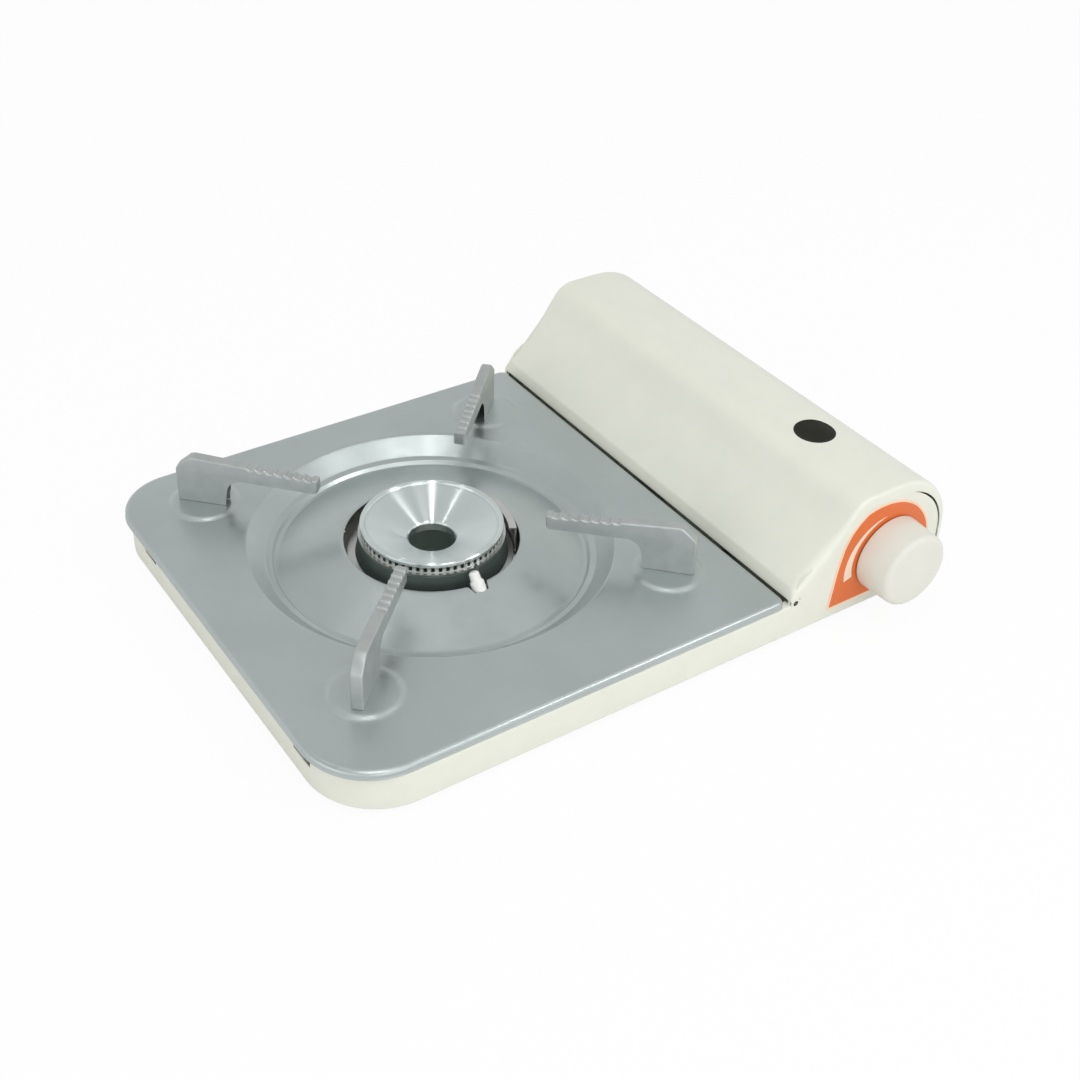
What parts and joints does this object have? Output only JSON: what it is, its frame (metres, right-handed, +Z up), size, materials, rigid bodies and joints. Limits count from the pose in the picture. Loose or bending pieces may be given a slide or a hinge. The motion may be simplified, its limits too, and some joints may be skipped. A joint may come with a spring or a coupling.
{
  "type": "butane cassette stove",
  "caption": "Portable butane cassette stove with a cream steel case, silver lift-off top plate, raised pan supports, round burner, hinged cartridge lid and a round ignition knob.",
  "frame": {"origin": "middle of the overall footprint, knob included, on the surface that the stove stands on", "axes": "+X from the burner to the cartridge bay, +Y from the front with the knob to the back, +Z up"},
  "size_m": [0.366, 0.291, 0.0747],
  "materials": {
    "case_paint": "satin cream paint",
    "plate_steel": "satin silver",
    "support_steel": "satin silver",
    "cup_enamel": "dark satin",
    "cap_aluminium": "spun, bright",
    "zinc_steel": "zinc plated",
    "brass": "satin",
    "ceramic": "glazed ceramic",
    "wire_sheath": "matt black",
    "die_cast": "die cast",
    "black_rubber": "matt",
    "magnet": "dark",
    "igniter_plastic": "matt",
    "white_plastic": "satin",
    "knob_plastic": "off-white, satin",
    "dial_orange": "orange with a dark border",
    "window_black": "gloss black"
  },
  "bodies": {
    "case": {"base_case": "case_paint", "burner_cup": "cup_enamel", "burner_throat": "cup_enamel", "port_ring": "zinc_steel", "burner_cap": "cap_aluminium", "burner_bracket": "zinc_steel", "mixing_tube": "die_cast", "gas_jet": "brass", "gas_pipe": "brass", "electrode_rod": "zinc_steel", "electrode_ceramic": "ceramic", "electrode_clip": "zinc_steel", "ignition_wire": "wire_sheath", "heat_plate": "die_cast", "partition": "zinc_steel", "cradle_rail_left": "case_paint", "cradle_rail_right": "case_paint", "regulator_body": "die_cast", "regulator_cover": "die_cast", "cover_screws": "zinc_steel", "regulator_bracket": "zinc_steel", "magnet_seat": "magnet", "inlet_seal": "black_rubber", "guide_tab": "zinc_steel", "piezo_igniter": "igniter_plastic", "dial_plate": "dial_orange", "hinge_pin_front": "zinc_steel", "hinge_pin_back": "zinc_steel", "lid_catch": "zinc_steel", "foot_1": "black_rubber", "foot_2": "black_rubber", "foot_3": "black_rubber", "foot_4": "black_rubber", "foot_screws": "zinc_steel"},
    "cook_top": {"top_plate": "plate_steel", "pan_support_1": "support_steel", "pan_support_2": "support_steel", "pan_support_3": "support_steel", "pan_support_4": "support_steel"},
    "lid": {"lid": "case_paint", "lid_window": "window_black"},
    "knob": {"knob": "knob_plastic", "valve_spindle": "brass", "ignition_cam": "white_plastic"},
    "plunger": {"piezo_plunger": "white_plastic"}
  },
  "joints": [
    {"name": "lid_hinge", "type": "hinge", "parent": "case", "child": "lid", "pos_m": [0.08, 0, 0.0238], "axis": [0, -1, 0], "range_deg": [0, 52]},
    {"name": "knob_turn", "type": "hinge", "parent": "case", "child": "knob", "pos_m": [0.1412, -0.1235, 0.0339], "axis": [0, -1, 0], "range_deg": [0, 120]},
    {"name": "plunger_slide", "type": "slide", "parent": "case", "child": "plunger", "axis": [-1, 0, 0], "range_m": [0, 0.0041]},
    {"name": "top_plate_lift", "type": "slide", "parent": "case", "child": "cook_top", "axis": [-0.3712, 0, 0.9285], "range_m": [0, 0.04]}
  ],
  "couplings": [
    {"joint": "plunger_slide", "follows": "knob_turn", "m_per_rad": 0.0019099}
  ]
}
